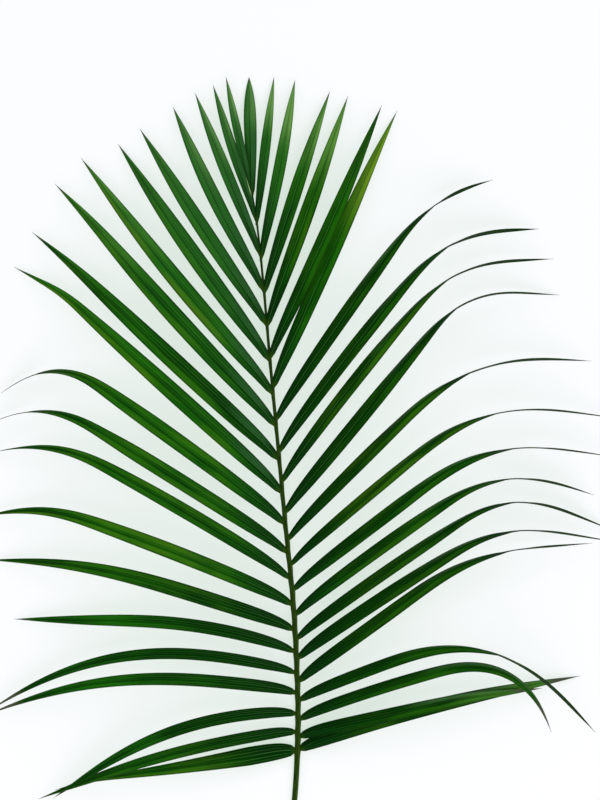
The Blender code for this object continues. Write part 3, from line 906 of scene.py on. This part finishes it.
def painted_root_sheen(n, leaf):
    """Painted sheen, pale, on the half towards the frond's tip, near the root."""
    sheen = n.times(n.ramp(leaf.across, -0.15, 0.25), n.ramp(leaf.out, 8.0, 28.0))
    sheen = n.times(sheen, n.ramp(leaf.out, 35.0, 90.0, 1.0, 0.0))
    return n.times(sheen, n.times(n.attribute("shine"), 0.7))


def pale_end(n, leaf):
    """Paler outer part, sooner on the left and mostly tip-ward: own paler tone plus painted sheen.
    """
    begun = n.plus(n.times(leaf.left, n.ramp(leaf.along, 0.45, 0.82)),
                   n.times(leaf.right, n.ramp(leaf.along, 0.55, 0.85)))
    pale = n.times(n.attribute("pale"), begun)
    pale = n.times(pale, n.ramp(leaf.patches, 0.3, 0.6, 0.5, 1.0))
    outward = n.times(leaf.across, n.ramp(leaf.left, 0.0, 1.0, -0.3, 1.5))
    return n.times(pale, n.plus(1.0, outward))


def golden_end(n, leaf):
    """How golden the outer part is, more so on the half towards the stalk."""
    golden = n.times(n.attribute("golden"), n.ramp(leaf.along, 0.5, 0.8))
    return n.times(golden, n.ramp(leaf.across, -0.6, 0.6, 0.7, 0.3))


def painted_grey_sheen(n, leaf):
    """How much painted grey sheen lies on the outer part of the half towards the frond's tip."""
    grey = n.times(n.ramp(leaf.across, 0.1, 0.9, 0.0, 0.4), n.ramp(leaf.along, 0.4, 0.6))
    return n.times(n.attribute("grey_sheen"), grey)


def with_veins(n, leaf, colour):
    """The colour with fine lines, two pale nerves on each half, and the pale midrib, painted lit
    on its tip-ward side and shaded on the other.
    """
    lines = n.math("ABSOLUTE", n.ramp(leaf.fine, 0.35, 0.65, -0.5, 0.5))
    colour = n.mix(n.times(lines, 0.25), colour, DARK_GREEN)
    nerve = n.math("MAXIMUM", n.line(leaf.size, FIRST_NERVE, 0.01, 0.04, 0.55),
                   n.line(leaf.size, SECOND_NERVE, 0.01, 0.04, 0.38))
    nerve = n.times(nerve, n.ramp(leaf.left, 0.0, 1.0, 0.5, 1.0))
    colour = n.mix(nerve, colour, RIB_GREEN)
    # painted shade along the midrib's side towards the stalk
    colour = n.mix(n.line(leaf.across, SHADED_RIB_PLACE, 0.03, 0.09, 0.6), colour, RIB_SHADE_GREEN)
    clear = n.times(leaf.left, n.ramp(leaf.out, 20.0, 90.0, 0.3, 0.0))
    clear = n.plus(clear, n.ramp(leaf.out, 8.0, 26.0, 0.3, 0.0))
    clear = n.plus(n.attribute("rib"), clear)
    # pale midrib, painted as a highlight on its side towards the frond's tip
    rib = n.times(n.line(leaf.across, LIT_RIB_PLACE, 0.03, 0.075, 1.0), clear, clamp=True)
    return n.mix(rib, colour, RIB_GREEN)


def with_margin_and_ends(n, leaf, colour):
    """The colour with darker margins, painted shade on the stretch on edge, dry tip and olive
    joint.
    """
    colour = n.mix(n.ramp(leaf.size, 0.68, 0.9, 0.0, 0.5), colour, EDGE_GREEN)
    margin = n.times(n.ramp(leaf.size, 0.93, 0.98), n.ramp(leaf.left, 0.0, 1.0, 0.25, 0.7))
    colour = n.mix(margin, colour, MARGIN_GREEN)
    # painted shade where the blade stands on edge
    colour = n.mix(n.times(n.attribute("on_edge"), 0.5), colour, ON_EDGE_SHADE)
    dry = n.plus(leaf.along, n.times(n.minus(leaf.streaks, 0.5), 0.03))
    dry = n.ramp(n.plus(dry, n.attribute("dry")), 0.93, 0.995)
    colour = n.mix(dry, colour, DRY_TIP)
    return n.mix(n.ramp(leaf.out, 3.0, 9.0, 0.85, 0.0), colour, JOINT_OLIVE)


def upper_leaf():
    """Upper side of a leaflet: greens in patches and streaks, veins, margins and tip."""
    n = Nodes("leaf_upper")
    leaf = leaf_sockets(n)
    blue = n.attribute("blue")
    colour = n.mix(leaf_light(n, leaf), DARK_GREEN, MID_GREEN)
    colour = n.mix(leaf_warmth(n, leaf), colour, YELLOW_GREEN)
    # painted sheen: bluish-grey green on the upper leaflets
    colour = n.mix(n.times(blue, 0.6), colour, SHEEN_BLUE_GREEN)
    colour = n.mix(n.ramp(leaf.out, 10.0, 80.0, 0.8, 0.0), colour, ROOT_GREEN)
    # painted sheen on the tip-ward half near the root
    colour = n.mix(painted_root_sheen(n, leaf), colour, PAINTED_SHEEN_GREEN)
    # paler outer part: the leaflets' own paler tone, with painted bluish sheen near the frond's
    # tip
    colour = n.mix(pale_end(n, leaf), colour, n.mix(blue, PALE_GREEN, PALE_SHEEN_BLUE))
    colour = n.mix(golden_end(n, leaf), colour, GOLDEN_GREEN)
    # painted sheen: grey on the outer tip-ward half
    colour = n.mix(painted_grey_sheen(n, leaf), colour, SHEEN_GREY_GREEN)
    colour = with_veins(n, leaf, colour)
    n.set("Base Color", with_margin_and_ends(n, leaf, colour))
    n.set("Roughness", n.ramp(leaf.streaks, 0.3, 0.7, 0.33, 0.43))
    n.set("Specular IOR Level", 0.02)
    height = n.plus(n.times(leaf.fine, 0.6), n.times(leaf.streaks, 0.4))
    n.set("Normal", n.bump(height, 0.25, 0.0004))
    return n.material


def under_leaf():
    """Underside of a leaflet: duller than above and darker towards the tip, with fine veins."""
    n = Nodes("leaf_underside")
    size = n.math("ABSOLUTE", n.attribute("across"))
    along = n.attribute("along")
    out = n.attribute("out_mm")
    spot = leaf_coordinates(n)
    streaks = n.noise(spot, 0.7, 3.0, 0.6)
    fine = n.noise(spot, 3.0)
    colour = n.mix(n.ramp(streaks, 0.3, 0.7), UNDER_DARK, UNDER_GREEN)
    colour = n.mix(n.ramp(size, 0.05, 0.09, 0.7, 0.0), colour, UNDER_RIB)
    colour = n.mix(n.ramp(fine, 0.45, 0.6, 0.0, 0.3), colour, MID_GREEN)
    colour = n.mix(n.ramp(along, 0.6, 0.8, 0.0, 0.6), colour, UNDER_TIP)
    # painted shade where the blade stands on edge
    colour = n.mix(n.times(n.attribute("on_edge"), 0.5), colour, ON_EDGE_SHADE)
    colour = n.mix(n.ramp(along, 0.955, 0.995), colour, DRY_TIP)
    colour = n.mix(n.ramp(out, 3.0, 9.0, 0.85, 0.0), colour, JOINT_OLIVE)
    n.set("Base Color", colour)
    n.set("Roughness", n.ramp(streaks, 0.3, 0.7, 0.5, 0.62))
    n.set("Specular IOR Level", 0.1)
    n.set("Normal", n.bump(fine, 0.3, 0.0004))
    return n.material


def rachis_skin():
    """Olive stalk with fine lengthwise fibres, lighter at the joints, pale at the cut, painted
    light on one flank.
    """
    n = Nodes("rachis_skin")
    stem = n.attribute("stem_mm")
    around = n.attribute("around")
    fibres = n.noise(n.vector(n.times(around, 14.0), n.times(stem, 0.05), 0.0), 2.2, 3.0, 0.6)
    speckle = n.noise(n.vector(n.times(around, 18.0), stem, 4.0), 0.9)
    colour = n.mix(n.ramp(fibres, 0.35, 0.65), DARK_OLIVE, OLIVE)
    colour = n.mix(n.times(n.attribute("node"), 0.7), colour, JOINT_GREEN)
    colour = n.mix(n.ramp(speckle, 0.62, 0.72, 0.0, 0.35), colour, SPECKLE_BROWN)
    # painted light: the flank towards +x lighter
    colour = n.mix(n.ramp(n.attribute("facing"), 0.2, 0.8, 0.0, 0.5), colour, LIT_SIDE_GREEN)
    colour = n.mix(n.ramp(stem, CUT_Y + 0.05, CUT_Y + 0.4, 1.0, 0.0), colour, PITH)
    n.set("Base Color", colour)
    n.set("Roughness", n.ramp(fibres, 0.3, 0.7, 0.38, 0.5))
    n.set("Specular IOR Level", 0.08)
    n.set("Normal", n.bump(fibres, 0.35, 0.0005))
    return n.material


def scale_skin():
    """Dry pale skin of the small scale."""
    n = Nodes("scale_skin")
    spot = n.attribute("scale_along")
    n.set("Base Color", n.mix(n.ramp(spot, 0.1, 0.5), SCALE_GREEN, SCALE_CREAM))
    n.set("Roughness", n.ramp(spot, 0.0, 1.0, 0.5, 0.6))
    n.set("Specular IOR Level", 0.1)
    return n.material


def make_scale(material):
    """The thin dry scale that stands beside the base of the terminal leaflet."""
    start = np.array(SCALE_FROM)
    run = np.array(SCALE_TO) - start
    sideways = np.cross(run / np.linalg.norm(run), UP)
    angles = 2.0 * math.pi * np.arange(SCALE_POINTS) / SCALE_POINTS
    rings = []
    for s in np.linspace(0.0, 1.0, SCALE_RINGS):
        bulge = (1.0 - SCALE_FOOT_SHARE) * math.sin(math.pi * s ** SCALE_FULLNESS)
        half = SCALE_HALF_WIDTH * (SCALE_FOOT_SHARE + bulge) * (1.0 - SCALE_NARROWING * s)
        centre = start + run * s
        rings.append(centre[None, :] + sideways[None, :] * (np.cos(angles) * half)[:, None]
                     + UP[None, :] * (np.sin(angles) * half * SCALE_FLATNESS)[:, None])
    along = np.repeat(np.linspace(0.0, 1.0, SCALE_RINGS)[:, None], SCALE_POINTS, axis=1)
    item = make_object("scale", np.array(rings), ring_faces(SCALE_RINGS, SCALE_POINTS),
                       {"scale_along": along})
    dress(item, material)


def make_frond():
    """Every leaflet, the rachis and the scale."""
    heights = random.Random(SEED)
    draw = random.Random(WAVE_SEED)
    materials = (upper_leaf(), under_leaf())
    named = [("L%d" % (k + 1), row, -1) for k, row in enumerate(LEFT_ROWS)]
    named += [("R%d" % (k + 1), row, 1) for k, row in enumerate(RIGHT_ROWS)]
    named.append(("terminal", TERMINAL_ROW, -1))
    for name, row, side in named:
        tip_height = HELD_TIPS.get(name, heights.uniform(*FREE_TIP_HEIGHTS))
        make_leaflet(name, row, side, tip_height, draw, materials)
    make_rachis(rachis_skin())
    make_scale(scale_skin())


def make_camera():
    """Camera straight above the middle of the photograph, with +Y up in the picture."""
    data = bpy.data.cameras.new("camera")
    data.sensor_width = SENSOR
    data.lens = SENSOR * CAMERA_HEIGHT / PICTURE_HEIGHT
    data.clip_end = CAMERA_REACH
    camera = bpy.data.objects.new("camera", data)
    x = PICTURE_LEFT_X + PICTURE_WIDTH / 2.0 - MIDDLE[0]
    y = PICTURE_HEIGHT / 2.0 - MIDDLE[1]
    camera.location = (x * MM, y * MM, CAMERA_HEIGHT * MM)
    bpy.context.scene.collection.objects.link(camera)
    bpy.context.scene.camera = camera


def make_floor():
    """Plain pale floor, wide enough for every view.

    It gives off a little more green than it reflects, so open floor is white and the shade
    between the leaflets is faintly green, as it is where light passes through thin leaves.
    """
    far = FLOOR_HALF
    corners = [(-far, -far, 0.0), (far, -far, 0.0), (far, far, 0.0), (-far, far, 0.0)]
    mesh = bpy.data.meshes.new("floor")
    mesh.from_pydata(corners, [], [(0, 1, 2, 3)])
    floor = bpy.data.objects.new("floor", mesh)
    bpy.context.scene.collection.objects.link(floor)
    material = bpy.data.materials.new("floor_white")
    material.use_nodes = True
    shader = material.node_tree.nodes["Principled BSDF"]
    shader.inputs["Base Color"].default_value = (*FLOOR_REFLECTS, 1.0)
    shader.inputs["Roughness"].default_value = FLOOR_ROUGHNESS
    shader.inputs["Specular IOR Level"].default_value = FLOOR_SPECULAR
    shader.inputs["Emission Color"].default_value = (*FLOOR_GLOWS, 1.0)
    shader.inputs["Emission Strength"].default_value = FLOOR_GLOW_STRENGTH
    floor.data.materials.append(material)


def add_area_light(lamp):
    """Soft square light, aimed at the frond's middle."""
    data = bpy.data.lights.new(lamp.name, "AREA")
    data.shape = "SQUARE"
    data.size = lamp.size
    data.energy = lamp.power
    data.color = lamp.colour
    light = bpy.data.objects.new(lamp.name, data)
    light.location = lamp.place
    x, y, z = lamp.place
    light.rotation_euler = (math.atan2(math.hypot(x, y), z), 0.0, math.atan2(x, -y))
    light.visible_camera = False
    light.visible_glossy = lamp.glossy
    bpy.context.scene.collection.objects.link(light)


def make_light():
    """Soft light from the stalk's side, a weaker one from the tip, an even surrounding."""
    add_area_light(KEY_LAMP)
    add_area_light(SHEEN_LAMP)
    world = bpy.data.worlds.new("surrounding")
    world.use_nodes = True
    background = world.node_tree.nodes["Background"]
    background.inputs["Color"].default_value = (*SURROUNDING, 1.0)
    background.inputs["Strength"].default_value = 1.0
    world.cycles_visibility.glossy = False
    bpy.context.scene.world = world


make_camera()
make_frond()
make_floor()
make_light()
bpy.context.scene.view_settings.view_transform = "Standard"
